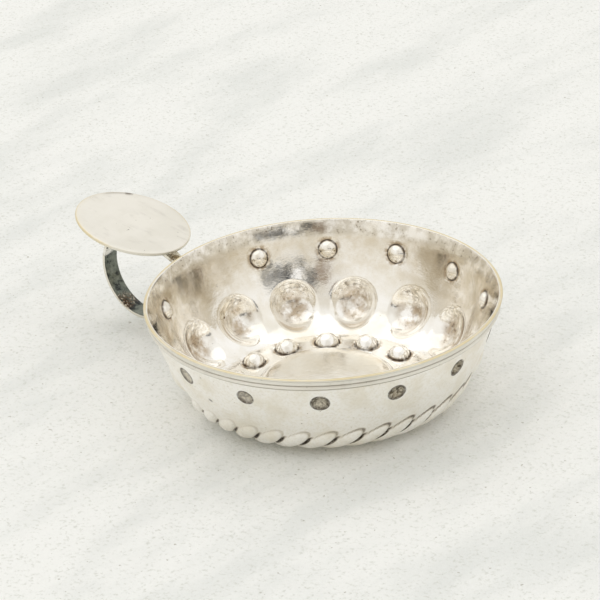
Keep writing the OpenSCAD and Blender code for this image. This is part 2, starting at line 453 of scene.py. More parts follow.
def resize(x: float, y: float, z: float = 1.0) -> None:
    """Scales what is selected in edit mode about the origin."""
    bpy.ops.transform.resize(value=(x, y, z), center_override=(0, 0, 0))


def extrude(step: tuple[float, float, float] | Vector) -> None:
    """Extrudes what is selected in edit mode by a step in metres."""
    bpy.ops.mesh.extrude_region_move(TRANSFORM_OT_translate={"value": step})


def close_mesh() -> None:
    """Merges doubles, turns all faces outwards and goes back to object mode."""
    bpy.ops.mesh.select_all(action="SELECT")
    bpy.ops.mesh.remove_doubles(threshold=DOUBLES * MM)
    bpy.ops.mesh.normals_make_consistent(inside=False)
    bpy.ops.object.mode_set(mode="OBJECT")


def spun(name: str, profile: list[tuple[float, float]], steps: int) -> bpy.types.Object:
    """Draws a half section point by point and spins it once round the Z axis.

    Args:
        name: the piece's name.
        profile: radius and height of each point in millimetres.
        steps: faces round the ring.

    Returns:
        The closed piece, in object mode.
    """
    piece = new_piece(name, bpy.ops.mesh.primitive_plane_add, size=MM)
    bpy.ops.mesh.merge(type="CENTER")
    radius, height = profile[0]
    bpy.ops.transform.translate(value=(radius * MM, 0, height * MM))
    for (r0, z0), (r1, z1) in zip(profile, profile[1:]):
        extrude(((r1 - r0) * MM, 0, (z1 - z0) * MM))
    bpy.ops.mesh.select_all(action="SELECT")
    bpy.ops.mesh.spin(steps=steps, angle=2 * math.pi, center=(0, 0, 0), axis=(0, 0, 1))
    close_mesh()
    return piece


def select_only(piece: bpy.types.Object) -> None:
    """Selects a piece alone and makes it the active one.

    Args:
        piece: the piece.
    """
    bpy.ops.object.select_all(action="DESELECT")
    piece.select_set(True)
    bpy.context.view_layer.objects.active = piece


def set_down(piece: bpy.types.Object, place: Matrix) -> None:
    """Moves a piece's mesh to its place and leaves the object at the origin.

    Args:
        piece: the piece, made at the origin.
        place: the matrix that sets it in place.
    """
    select_only(piece)
    piece.matrix_world = place
    bpy.ops.object.transform_apply(location=True, rotation=True, scale=True)


def edit_face(piece: bpy.types.Object, face: bpy.types.MeshPolygon) -> None:
    """Goes to edit mode with one face selected.

    Args:
        piece: the active piece, in object mode.
        face: its face.
    """
    for element in (*piece.data.vertices, *piece.data.edges, *piece.data.polygons):
        element.select = False
    face.select = True
    bpy.ops.object.mode_set(mode="EDIT")


def vectors_of(piece: bpy.types.Object, kind: str) -> np.ndarray:
    """Reads a vector of each vertex.

    Args:
        piece: the piece.
        kind: "co" for the place in metres, "normal" for the normal.

    Returns:
        One row for each vertex.
    """
    flat = np.zeros(len(piece.data.vertices) * 3)
    piece.data.vertices.foreach_get(kind, flat)
    return flat.reshape(-1, 3)


def points_of(piece: bpy.types.Object) -> np.ndarray:
    """Returns a piece's vertices in millimetres, one row each."""
    return vectors_of(piece, "co") / MM


def set_points(piece: bpy.types.Object, points: np.ndarray) -> None:
    """Moves a piece's vertices to places in millimetres, one row each."""
    piece.data.vertices.foreach_set("co", (points * MM).ravel())
    piece.data.update()


def set_fields(piece: bpy.types.Object, fields: dict[str, np.ndarray]) -> None:
    """Stores numbers for each vertex, for the finish to read.

    Args:
        piece: the piece.
        fields: one number for each vertex, by the attribute's name.
    """
    for name, values in fields.items():
        attribute = piece.data.attributes.new(name, "FLOAT", "POINT")
        attribute.data.foreach_set("value", values.astype(np.float32))


def smooth(piece: bpy.types.Object, angle: float) -> None:
    """Shades a piece smooth except at edges sharper than an angle in degrees."""
    select_only(piece)
    bpy.ops.object.shade_smooth_by_angle(angle=math.radians(angle))


def apply_modifier(piece: bpy.types.Object, kind: str, **settings: object) -> None:
    """Adds a modifier and applies it.

    Args:
        piece: the piece.
        kind: the modifier's type.
        settings: its properties.
    """
    select_only(piece)
    modifier = piece.modifiers.new(kind.title(), kind)
    for name, value in settings.items():
        setattr(modifier, name, value)
    bpy.ops.object.modifier_apply(modifier=modifier.name)


def round_edges(piece: bpy.types.Object, width: float, steps: int, angle: float) -> None:
    """Bevels edges that are sharper than an angle in degrees, by a width in millimetres."""
    limit = math.radians(angle)
    apply_modifier(piece, "BEVEL", width=width * MM, segments=steps, limit_method="ANGLE", angle_limit=limit)


def lay_finish(piece: bpy.types.Object, material: bpy.types.Material, slot: Slot, *nodes: str) -> None:
    """Gives a piece its finish and ties it to the frame.

    Args:
        piece: the finished piece.
        material: its material.
        slot: the record's slot that the finish belongs to; not used.
        nodes: the solids that the piece stands for.
    """
    piece.data.materials.clear()
    piece.data.materials.append(material)
    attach(piece, BODY)
    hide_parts(*nodes)
    LOG.info("%s: %d vertices", piece.name, len(piece.data.vertices))


def ease(value: np.ndarray, low: float, high: float) -> np.ndarray:
    """Eases values from 0 at the low end of a span to 1 at its high end."""
    part = np.clip((value - low) / (high - low), 0, 1)
    return part * part * (3 - 2 * part)


def ridge(value: np.ndarray, at: float, width: float) -> np.ndarray:
    """Rises to 1 where a value is met, and falls to 0 on both sides over about twice a width."""
    return np.exp(-((value - at) / width) ** 2)


def soft_max(value: np.ndarray, width: float) -> np.ndarray:
    """Rounds the corner of max(0, value) over a width, and stays at 0 well below it."""
    part = np.clip((value + width) / (2 * width), 0, 1)
    return np.where(value > width, value, width * part * part)


def lumps(points: np.ndarray, size: float, seed: float) -> np.ndarray:
    """Reads gentle noise at places.

    Args:
        points: the places in millimetres, one row each.
        size: size of one lump in millimetres.
        seed: offset that sets two sets of lumps apart.

    Returns:
        One number from about -1 to 1 for each place.
    """
    shift = Vector((seed, seed * 1.7, seed * 0.6))
    return np.array([noise.noise(Vector(point) / size + shift) for point in points])


def distances(points: np.ndarray, spot: tuple[float, float, float]) -> np.ndarray:
    """Returns the distance of each place from a spot, in millimetres."""
    return np.linalg.norm(points - np.array(spot), axis=1)


def arc(centre: tuple[float, float], radius: float, angles: tuple[int, ...]) -> list[tuple[float, float]]:
    """Returns the points of an arc at angles in degrees."""
    turns = np.radians(angles)
    return [(centre[0] + radius * math.cos(turn), centre[1] + radius * math.sin(turn)) for turn in turns]


@dataclass(frozen=True)
class BeadRing:
    """A ring of beads, raised inside the sheet and hollow outside, and how the mesh carries it.

    along is its distance up the wall, first its first place with a bead, turn the columns that it is turned
    by, twist the columns that the mesh leans by there, and loop the columns between two loops round a bead.
    """

    along: float
    first: int
    turn: int
    twist: int
    loop: float
    size: float
    rise: float
    hollow: float
    depth: float


@dataclass
class Bowl:
    """Raised and chased bowl sheet with its beads, cups, gadroons and boss."""

    rim_d: float = 80.7
    height: float = 24.6
    sheet_t: float = 0.9
    turn_r: float = 13.4
    wall_r: float = 59.0
    wall_lean: float = 30.0
    boss_r: float = 16.3
    boss_h: float = 2.3
    boss_round: float = 1.9
    foot_fillet: float = 0.5
    # The lower edge of the hollow under the boss is eased by these points out from it and up, and the flat
    # foot starts a little farther out
    hollow_edge: tuple[tuple[float, float], ...] = ((0.0, 0.45), (0.1, 0.12))
    foot_round: float = 0.35
    flare_h: float = 4.4
    flare_bend: float = 1.8
    moulding_h: float = 2.8
    rim_edge: float = 0.2
    ring_count: int = 14
    bead_drop: float = 7.0
    bead_d: float = 4.3
    bead_rise: float = 1.3
    hollow_d: float = 3.8
    hollow_depth: float = 1.05
    base_bead_d: float = 5.4
    base_bead_rise: float = 2.4
    base_hollow_d: float = 4.4
    base_hollow_depth: float = 1.9
    base_turn_columns: int = 3
    # Beads are struck by hand, so their sizes vary by a part and their places stray by millimetres
    bead_vary: float = 0.035
    bead_stray: float = 0.10
    # A shallow ditch runs round each bead, at a part of its radius
    ditch_at: float = 1.13
    ditch_w: float = 0.22
    ditch_depth: float = 0.10
    cup_count: int = 8
    cup_first_columns: int = -14
    cup_d: float = 10.4
    cup_depth: float = 2.2
    cup_tilt: float = 34.5
    cup_lip: float = 0.55
    # A cup only reaches the wall on its own side, by the cosine of the azimuth between, and above the foot
    cup_reach: float = 0.8
    cup_low_s: float = 1.0
    lobe_count: int = 14
    lobe_columns: int = 14
    lobe_first_columns: int = 86
    lobe_tilt: float = 45.5
    lobe_slant: float = 40.0
    lobe_half: float = 5.1
    lobe_h: float = 1.05
    lobe_gap: float = 1.06
    # How full the gadroons stay towards their ends, and how much of their height shows inside
    lobe_full: float = 0.3
    lobe_inside: float = 0.8
    # Painted shade with some dirt lies in a line round each gadroon and in the wedge between two, less
    # towards their lower ends
    line_darkness: float = 0.48
    line_at: float = 1.02
    crease: float = 0.16
    wedge: float = 0.34
    low_end_fade: float = 0.6
    low_end_span: tuple[float, float] = (0.5, 1.0)
    groove_inside: float = 0.45
    # Painted shadow in the corner under the rim's moulding: its strength, its width and its drop below the
    # moulding
    under_shade: float = 0.56
    under_w: float = 0.2
    under_drop: float = 0.4
    scar_at: tuple[float, float, float] = (-2.6, -36.9, 12.7)
    scar_form: tuple[float, float, float] = (0.6, 1.0, 1.6)
    scar_fade: tuple[float, float] = (0.3, 0.9)
    # The backs of the beads and the grooves are painted darker towards this side, away from the lamp:
    # painted shade
    away_way: tuple[float, float] = (0.750, 0.661)
    away_reach: tuple[float, float] = (-38.0, 24.0)
    shade_least: float = 0.8
    shade_gain: float = 0.45
    # Heights between which the wall inside turns dull, turns bright again and flares, and radii inside the
    # boss's edge between which its top turns dull
    dull_from: tuple[float, float] = (9.0, 15.0)
    dull_to: tuple[float, float] = (20.5, 23.5)
    flare_from: tuple[float, float] = (20.2, 22.2)
    boss_dull: tuple[float, float] = (3.0, 1.0)
    # The dirty line round the boss lies outside its edge
    boss_line: float = 0.3
    boss_line_w: float = 0.5
    # Heights over the bowl's floor, over the boss's back and under the floor that tell these faces apart
    over_floor: float = 0.1
    over_back: float = 0.5
    under_floor: float = 0.05
    # Columns of the mesh, their lean over the gadroons, and the rows that carry a ring of beads
    columns: int = 490
    twist_low: int = -12
    twist_high: int = 10
    row_step: float = 0.45
    reach: int = 7
    # Loops round a bead by their radius as a part of the bead's, and the last of them that is quite round
    loop_sizes: tuple[float, ...] = (0.0, 0.28, 0.55, 0.80, 1.0, 1.15, 1.36)
    round_loops: int = 5
    # Rows outside and inside: on the flat foot, over gadroons or cups, on the plain wall and at the rim,
    # with where the gadroons or cups end and the gaps that are left between these stretches
    flat_rows: tuple[int, int] = (5, 4)
    flat_gap: float = 0.3
    relief_rows: tuple[int, int] = (38, 37)
    relief_ends: tuple[float, float] = (17.0, 20.6)
    relief_gaps: tuple[float, float] = (0.42, 0.45)
    plain_rows: tuple[int, int] = (5, 3)
    plain_gaps: tuple[tuple[float, float], ...] = ((0.8, 0.7), (0.6, 0.6))
    edge_rows: int = 9
    edge_gap: float = 0.4
    boss_rows: tuple[float, ...] = (0.0, 4.0, 8.0, 12.0)
    search_parts: int = 12
    sharp_angle: float = 52.0
    seed: int = 11

    def __post_init__(self) -> None:
        """Works out the arcs of the section."""
        lean = math.radians(self.wall_lean)
        self.rim_r = self.rim_d / 2
        self.wall_z = self.turn_r + (self.wall_r - self.turn_r) * math.sin(lean)
        self.wall_x = self.rim_r - math.sqrt(self.wall_r ** 2 - (self.height - self.wall_z) ** 2)
        self.foot_r = self.wall_x + (self.wall_r - self.turn_r) * math.cos(lean)
        self.joint_s = self.turn_r * (math.pi / 2 - lean)
        self.top_s = self.along_at(self.height)
        self.bead_s = self.along_at(self.height - self.bead_drop)
        self.cup_s = self.turn_r * math.radians(90 - self.cup_tilt)
        self.lobe_s = self.turn_r * math.radians(90 - self.lobe_tilt)
        self.flare_s = self.along_at(self.height - self.flare_h)
        self.under_s = self.along_at(self.height - self.moulding_h - self.under_drop)
        self.step = 2 * math.pi / self.columns
        self.half_turn = self.columns // 2
        self.pitch = self.columns // self.ring_count

    def along_at(self, z: float) -> float:
        """Returns the distance along the wall's outside face from the foot's edge to a height."""
        tilt = math.asin((self.wall_z - z) / self.wall_r)
        return self.joint_s + self.wall_r * (math.radians(self.wall_lean) - tilt)

    def wall_at(self, z: float) -> float:
        """Returns the radius of the wall's outside face at a height."""
        return self.wall_x + math.sqrt(self.wall_r ** 2 - (z - self.wall_z) ** 2)

    def section(self, along: np.ndarray) -> tuple[np.ndarray, np.ndarray, np.ndarray, np.ndarray]:
        """Finds points of the outside face by their distance from the foot's edge.

        Args:
            along: distances in millimetres, below 0 on the flat foot.

        Returns:
            Radius, height, and the outward normal's two parts.
        """
        bend = np.clip(along, 0, self.joint_s) / self.turn_r
        tilt = np.pi / 2 - bend - np.clip(along - self.joint_s, 0, None) / self.wall_r
        on_wall = along > self.joint_s
        centre_r = np.where(on_wall, self.wall_x, self.foot_r)
        centre_z = np.where(on_wall, self.wall_z, self.turn_r)
        bow = np.where(on_wall, self.wall_r, self.turn_r)
        radius = centre_r + bow * np.cos(tilt) + np.clip(along, None, 0)
        return radius, centre_z - bow * np.sin(tilt), np.cos(tilt), -np.sin(tilt)

    def at(self, along: float) -> list[float]:
        """Returns what section finds at one distance, as plain numbers."""
        return [float(part[0]) for part in self.section(np.array([along]))]

    def thickness(self, along: np.ndarray) -> np.ndarray:
        """Returns the sheet's thickness at distances along the wall, thinned by the flare inside the rim."""
        part = np.clip((along - self.flare_s) / (self.top_s - self.flare_s), 0, 1)
        return self.sheet_t - (self.sheet_t - self.rim_edge) * part ** self.flare_bend

    def stations(self, face: Face) -> np.ndarray:
        """Lays out the rows of one face of the sheet from the boss to the rim.

        Args:
            face: the outside or the inside.

        Returns:
            Distance of each row along the wall.
        """
        side = face.value
        band = self.row_step * np.arange(-self.reach, self.reach + 1)
        beads = self.bead_s + band
        start = self.boss_r + (self.foot_round - self.sheet_t, self.foot_fillet)[side] - self.foot_r
        end = self.relief_ends[side]
        after, before = self.plain_gaps[side]
        flat = np.linspace(start, band[0] - self.flat_gap, self.flat_rows[side])
        relief = np.linspace(band[-1] + self.relief_gaps[side], end, self.relief_rows[side])
        plain = np.linspace(end + after, beads[0] - before, self.plain_rows[side])
        edge = np.linspace(beads[-1] + self.edge_gap, self.top_s - self.rim_edge / 2, self.edge_rows)
        if face is Face.OUTSIDE:
            under = self.under_s + self.under_w * np.arange(-1, 2)
            clear = np.abs(edge - self.under_s) > 1.5 * self.under_w
            edge = np.sort(np.concatenate([edge[clear], under]))
        return np.concatenate([flat, band, relief, plain, beads, edge])

    def rows(self) -> tuple[list[tuple[float, float]], np.ndarray, np.ndarray]:
        """Lays out the rows of the mesh from under the boss, round the rim, to the top of the boss.

        Returns:
            Radius and height of each row, its distance along the wall, and its side as a Face value.
        """
        outside, inside = self.stations(Face.OUTSIDE), self.stations(Face.INSIDE)
        low, high = outside[0] - 1, self.top_s
        inner_r, top = self.boss_r - self.sheet_t, self.sheet_t + self.boss_h
        points, marks = [], []

        def row(radius: float, height: float, place: float = low, face: Face = Face.PLAIN) -> None:
            """Adds one row of the mesh, which carries no relief unless its face says so."""
            points.append((radius, height))
            marks.append((place, face.value))

        def corner(radius: float, height: float, size: float, angles: tuple[int, ...]) -> None:
            """Adds rows round a corner that is rounded by a size, below 0 where it is a fillet."""
            for angle in np.radians(angles):
                row(radius - size * (1 - math.cos(angle)), height - size * (1 - math.sin(angle)))

        for radius in self.boss_rows:
            row(radius, self.boss_h)
        corner(inner_r, self.boss_h, self.boss_round - self.sheet_t, (90, 68, 45, 22, 0))
        for out, height in self.hollow_edge:
            row(inner_r + out, height)
        for place in outside:
            radius, height, _, _ = self.at(place)
            row(radius, height, place, Face.OUTSIDE)
        half = self.rim_edge / 2
        r, z, nr, nz = self.at(self.top_s - half)
        for across, up in arc((-half, 0.0), half, (45, 90, 135)):
            row(r + across * nr - up * nz, z + across * nz + up * nr, high)
        for place in inside[::-1]:
            r, z, nr, nz = self.at(place)
            thick = float(self.thickness(place))
            row(r - thick * nr, z - thick * nz, place, Face.INSIDE)
        corner(self.boss_r, self.sheet_t, -self.foot_fillet, (68, 45, 22, 0))
        corner(self.boss_r, top, self.boss_round, (14, 28, 42, 56, 70, 90))
        for radius in self.boss_rows[::-1]:
            row(radius, top)
        return points, *np.array(marks).T

    def twist(self, along: np.ndarray) -> np.ndarray:
        """Finds how far the mesh leans with the gadroons.

        Args:
            along: distances along the wall.

        Returns:
            Columns that the mesh leans by at each distance.
        """
        radius = self.section(along)[0]
        lean = math.tan(math.radians(self.lobe_slant)) * (along - self.lobe_s) / radius / self.step
        return np.clip(lean, self.twist_low, self.twist_high)

    def gather(
        self, across: np.ndarray, up: np.ndarray, wide: float, tall: float, radius: float
    ) -> tuple[np.ndarray, np.ndarray, np.ndarray]:
        """Bends square mesh loops round a bead to circles, so that its edge is a round loop.

        Args:
            across: column offset from the bead's middle, in loops.
            up: row offset from the bead's middle, in loops.
            wide: width of one loop along the row in millimetres.
            tall: height of one loop in millimetres.
            radius: the bead's radius, which the fourth loop takes.

        Returns:
            Offsets from the bead's middle in millimetres, along the row and up the wall, and 1 where the
            loops are round down to 0 where they join the square mesh.
        """
        flat = np.abs(across) >= np.abs(up)
        major, minor = np.where(flat, across, up), np.where(flat, up, across)
        lean = np.pi / 4 * minor / np.where(major == 0, 1, major)
        turn = np.where(flat, lean, np.pi / 2 - lean) + np.where(major < 0, np.pi, 0)
        loop = np.abs(major)
        size = np.interp(loop, np.arange(len(self.loop_sizes)), radius * np.array(self.loop_sizes))
        free = np.clip((loop - self.round_loops) / (self.reach - self.round_loops), 0, 1)
        x = size * np.cos(turn) * (1 - free) + across * wide * free
        y = size * np.sin(turn) * (1 - free) + up * tall * free
        return x, y, 1 - free

    def build(self) -> bpy.types.Object:
        """Spins the sheet, chases its relief and smooths it.

        Returns:
            The piece.
        """
        profile, row_along, row_side = self.rows()
        piece = spun("bowl_sheet", profile, self.columns)
        points = points_of(piece)
        radius = np.hypot(points[:, 0], points[:, 1])
        places = np.array(profile)
        row = np.zeros(len(points), int)
        # In parts, because a table of all distances would be large
        for part in np.array_split(np.arange(len(points)), self.search_parts):
            gap = (radius[part, None] - places[:, 0]) ** 2 + (points[part, 2, None] - places[:, 1]) ** 2
            row[part] = gap.argmin(axis=1)
        column = np.rint(np.arctan2(points[:, 1], points[:, 0]) / self.step)
        self.chase(piece, points, column, row_along[row], row_side[row])
        smooth(piece, self.sharp_angle)
        return piece

    def chase(
        self, piece: bpy.types.Object, points: np.ndarray, column: np.ndarray,
        along: np.ndarray, side: np.ndarray,
    ) -> None:
        """Moves the sheet's vertices to its beads, cups and gadroons, and stores what the finish reads.

        Args:
            piece: the spun sheet.
            points: its vertices in millimetres.
            column: column of each vertex, 0 on the +X axis.
            along: distance of each vertex's row along the wall.
            side: Face value of each vertex.
        """
        out_side = side == Face.OUTSIDE.value
        in_side = side == Face.INSIDE.value
        formed = out_side | in_side
        azimuth = (column + self.twist(along)) * self.step
        place = along.copy()
        lift, bead_edge = self.beads(column, along, out_side, in_side, azimuth, place)
        radius, height, normal_r, normal_z = self.section(place)
        inner = np.where(in_side, self.thickness(place), 0.0)
        radius, height = radius - inner * normal_r, height - inner * normal_z
        push, cup_edge = self.cups(place, azimuth, radius, height, normal_r, normal_z, in_side)
        lift += push
        lobe, groove = self.lobes(column, along)
        lift += np.where(out_side, lobe, self.lobe_inside * lobe)

        radius = np.where(formed, radius + lift * normal_r, np.hypot(points[:, 0], points[:, 1]))
        height = np.where(formed, height + lift * normal_z, points[:, 2])
        moved = np.column_stack((radius * np.cos(azimuth), radius * np.sin(azimuth), height))
        set_points(piece, moved)

        # Painted shade: the grooves grow darker towards the side away from the lamp
        away_from_lamp = ease(moved[:, :2] @ np.array(self.away_way), *self.away_reach)
        groove = groove * (self.shade_least + self.shade_gain * away_from_lamp)
        # Painted shadow line round the wall under the rim's moulding
        under_rim_shade = self.under_shade * ridge(along, self.under_s, self.under_w)
        groove = np.where(out_side, np.maximum(groove, under_rim_shade), self.groove_inside * groove)
        wall = ease(height, *self.dull_from) * (1 - ease(height, *self.dull_to))
        top = 1 - ease(radius, *(self.boss_r - inside for inside in self.boss_dull))
        over_floor = height > self.sheet_t + self.over_floor
        on_boss = height > self.boss_h + self.over_back
        scar = np.linalg.norm((moved - np.array(self.scar_at)) * np.array(self.scar_form), axis=1)
        shoulder = ridge(radius, self.boss_r + self.boss_line, self.boss_line_w)
        set_fields(piece, {
            "inside": np.where(in_side | ~formed & over_floor, 1.0, 0.0),
            "bead_edge": bead_edge,
            "cup_edge": np.where(in_side, cup_edge, FAR_OFF),
            "groove": np.where(formed, groove, 0.0),
            "dull": np.where(in_side, wall, 0.0) + 2 * np.where(on_boss, top, 0.0),
            "scar": np.where(out_side, 1 - ease(scar, *self.scar_fade), 0.0),
            "flare": np.where(in_side, ease(height, *self.flare_from), 0.0),
            "boss_edge": np.where(height > self.sheet_t - self.under_floor, shoulder, 0.0),
            "away_from_lamp": away_from_lamp,
        })

    def bead_rings(self) -> tuple[BeadRing, BeadRing]:
        """Describes both rings of beads. The one under the rim leaves one place to the handle.

        Returns:
            The ring under the rim and the ring of the base.
        """
        rim = BeadRing(self.bead_s, 1, 0, self.twist_high, 1.0,
                       self.bead_d, self.bead_rise, self.hollow_d, self.hollow_depth)
        base = BeadRing(0.0, 0, self.base_turn_columns, self.twist_low, 2.0,
                        self.base_bead_d, self.base_bead_rise, self.base_hollow_d, self.base_hollow_depth)
        return rim, base

    def beads(
        self, column: np.ndarray, along: np.ndarray, out_side: np.ndarray, in_side: np.ndarray,
        azimuth: np.ndarray, place: np.ndarray,
    ) -> tuple[np.ndarray, np.ndarray]:
        """Gathers the mesh round each bead and finds the beads' relief.

        Args:
            column: column of each vertex, 0 on the +X axis.
            along: distance of each vertex's row along the wall.
            out_side: whether it lies on the outside face.
            in_side: whether it lies on the inside face.
            azimuth: its azimuth in radians, which is changed near a bead.
            place: its own distance along the wall, which is changed near a bead.

        Returns:
            The lift of each vertex in millimetres, and its distance outside the nearest bead's edge.
        """
        draw = np.random.default_rng(self.seed)
        lift = np.zeros(len(column))
        bead_edge = np.full(len(column), FAR_OFF)
        tall = self.row_step
        for ring in self.bead_rings():
            middle_r = self.at(ring.along)[0]
            wide = ring.loop * self.step * middle_r
            rows = np.abs(along - ring.along) < tall * (self.reach + 0.2)
            for index in range(ring.first, self.ring_count):
                centre = self.half_turn + ring.turn + index * self.pitch
                offset = (column + ring.twist - centre + self.half_turn) % self.columns - self.half_turn
                near = rows & (np.abs(offset) <= ring.loop * self.reach + 0.01)
                grow = 1 + self.bead_vary * draw.standard_normal()
                shift_x, shift_y = self.bead_stray * draw.standard_normal(2)
                for face, size, depth, ditch in (
                    (in_side, ring.size, ring.rise, self.ditch_depth),
                    (out_side, ring.hollow, ring.depth, 0.0),
                ):
                    mine = near & face
                    edge = size / 2 * grow
                    across, up = offset[mine] / ring.loop, (along[mine] - ring.along) / tall
                    x, y, hold = self.gather(across, up, wide, tall, edge)
                    far = np.hypot(x, y)
                    place[mine] = ring.along + y + shift_y * hold
                    at_r = self.section(place[mine])[0] * hold + middle_r * (1 - hold)
                    azimuth[mine] = centre * self.step + (x + shift_x * hold) / at_r
                    ball = (edge ** 2 + depth ** 2) / (2 * depth)
                    cap = np.sqrt(np.clip(ball ** 2 - far ** 2, 0, None)) - (ball - depth)
                    lift[mine] -= np.where(far < edge, np.clip(cap, 0, None), 0)
                    lift[mine] += ditch * ridge(far, edge * self.ditch_at, self.ditch_w)
                    bead_edge[mine] = far - edge
        return lift, bead_edge

    def cup_azimuths(self) -> np.ndarray:
        """Returns the azimuth of each cup in radians, from the one nearest the handle."""
        first = self.half_turn + self.cup_first_columns + 2 * self.pitch
        return (first - self.pitch * np.arange(self.cup_count)) * self.step

    def cups(
        self, place: np.ndarray, azimuth: np.ndarray, radius: np.ndarray, height: np.ndarray,
        normal_r: np.ndarray, normal_z: np.ndarray, in_side: np.ndarray,
    ) -> tuple[np.ndarray, np.ndarray]:
        """Finds how far the cups push the smooth sheet outwards, and where their edges are.

        Args:
            place: distance of each vertex along the wall.
            azimuth: its azimuth in radians.
            radius: its radius.
            height: its height.
            normal_r: the outward normal's part along the radius.
            normal_z: the outward normal's part along Z.
            in_side: whether it lies on the inside face.

        Returns:
            The push of each vertex, and its distance outside the nearest cup's edge, below 0 in a cup.
        """
        half = self.cup_d / 2
        ball = (half ** 2 + self.cup_depth ** 2) / (2 * self.cup_depth)
        r, z, nr, nz = self.at(self.cup_s)
        depth = self.sheet_t + ball - self.cup_depth
        size = np.where(in_side, ball, ball + self.sheet_t)
        missed = np.full(len(place), -FAR_OFF)
        best, edge = missed, -missed
        for turn in self.cup_azimuths():
            swing = azimuth - turn
            out, y = radius * np.cos(swing), radius * np.sin(swing)
            x, up = out - (r - depth * nr), height - (z - depth * nz)
            along_normal = x * normal_r * np.cos(swing) + y * normal_r * np.sin(swing) + up * normal_z
            room = along_normal ** 2 - (x ** 2 + y ** 2 + up ** 2 - size ** 2)
            push = np.sqrt(np.clip(room, 0, None)) - along_normal
            near_side = np.cos(swing) > self.cup_reach
            best = np.maximum(best, np.where((room > 0) & near_side, push, missed))
            apart = (out - (r - self.sheet_t * nr), y, height - (z - self.sheet_t * nz))
            edge = np.minimum(edge, np.linalg.norm(apart, axis=0) - half)
        return np.where(place > self.cup_low_s, soft_max(best, self.cup_lip), 0.0), edge

    def lobes(self, column: np.ndarray, along: np.ndarray) -> tuple[np.ndarray, np.ndarray]:
        """Finds the gadroons' relief and the painted shade round and between them.

        Args:
            column: column of each vertex before the twist.
            along: its distance along the wall.

        Returns:
            The lift of each vertex in millimetres, and the strength of the painted shade round and between
            the gadroons, up to 1, and 0 elsewhere.
        """
        lift, groove, last = np.zeros((3, len(column)))
        end = np.abs(along - self.lobe_s) / self.lobe_half
        height = self.lobe_h * np.clip(1 - end ** 2, 0, None) ** self.lobe_full
        for index in range(self.lobe_count):
            centre = self.half_turn + self.lobe_first_columns + index * self.lobe_columns
            offset = (column - centre + self.half_turn) % self.columns - self.half_turn
            across = np.abs(offset) / (self.lobe_columns / 2)
            out = np.hypot(self.lobe_gap * across, end)
            lift = np.maximum(lift, height * np.sqrt(np.clip(1 - out ** 2, 0, None)))
            line = self.line_darkness * ridge(out, self.line_at, self.crease)
            close = ridge(out, 1.0, self.wedge)
            groove = np.maximum(groove, np.maximum(line, close * last))
            last = close
        low_end = np.where(along < self.lobe_s, 1 - self.low_end_fade * ease(end, *self.low_end_span), 1.0)
        return lift, groove * low_end


@dataclass
class RimMoulding:
    """Moulded wire round the outside of the rim: a lip, a hollow band and a lower bead."""

    bowl: Bowl
    lip_reach: float = 0.65
    lip_r: float = 0.3
    band_reach: float = 0.25
    wire_r: float = 0.5
    # Points of the section out from the rim and down from its top: where it starts inside the sheet, the
    # hollow band, and where it ends inside the sheet
    start: tuple[tuple[float, float], ...] = ((-0.12, 0.1), (-0.05, 0.0))
    band: tuple[tuple[float, float], ...] = (
        (0.20, 0.66), (0.11, 0.88), (0.05, 1.25), (0.03, 1.55), (0.01, 1.72),
    )
    back: tuple[tuple[float, float], ...] = ((-0.3, 0.9), (-0.12, 0.1))
    # How far the lower bead's back is tucked into the wall and lies above its lowest line
    tuck: tuple[float, float] = (0.25, 0.1)
    # Dirty lines by their drop below the top and their strength
    dirty: tuple[tuple[float, float], ...] = ((0.66, 1.0), (1.72, 0.7))
    dirty_w: float = 0.08
    # The lower bead is darker underneath, painted shade with some dirt, by height over its lowest line, and
    # the lip is worn on top, by drop below its top and by distance out from the rim
    shaded_up: tuple[float, float] = (0.32, 0.06)
    worn_drop: tuple[float, float] = (0.35, 0.08)
    worn_out: tuple[float, float] = (-0.2, 0.1)
    steps: int = 280
    sharp_angle: float = 60.0

    def build(self) -> bpy.types.Object:
        """Spins the moulding's section and stores where it is worn, dirty and painted in shade.

        Returns:
            The piece.
        """
        bowl = self.bowl
        rim, top, low = bowl.rim_r, bowl.height, bowl.height - bowl.moulding_h
        lip = (rim + self.lip_reach - self.lip_r, top - self.lip_r)
        wire_z = low + self.wire_r
        wire = (bowl.wall_at(wire_z) + self.band_reach, wire_z)
        profile = [(rim + out, top - drop) for out, drop in self.start]
        profile += arc(lip, self.lip_r, (90, 65, 40, 15, -10, -35, -60))
        profile += [(rim + out, top - drop) for out, drop in self.band]
        profile += arc(wire, self.wire_r, (78, 55, 30, 5, -20, -45, -70, -92))
        profile += [(bowl.wall_at(low) - self.tuck[0], low + self.tuck[1])]
        profile += [(rim + out, top - drop) for out, drop in self.back]
        piece = spun("rim_moulding_ring", profile, self.steps)
        points = points_of(piece)
        over = np.hypot(points[:, 0], points[:, 1]) - rim
        drop = top - points[:, 2]
        # Painted shade with some dirt under the lower bead, where it meets the wall
        crevice = ease(drop, *(bowl.moulding_h - up for up in self.shaded_up))
        for at, strength in self.dirty:
            crevice += strength * ridge(drop, at, self.dirty_w)
        wear = ease(points[:, 2], *(top - down for down in self.worn_drop)) * ease(over, *self.worn_out)
        set_fields(piece, {"wear": wear, "crevice": np.clip(crevice, 0, 1)})
        smooth(piece, self.sharp_angle)
        return piece


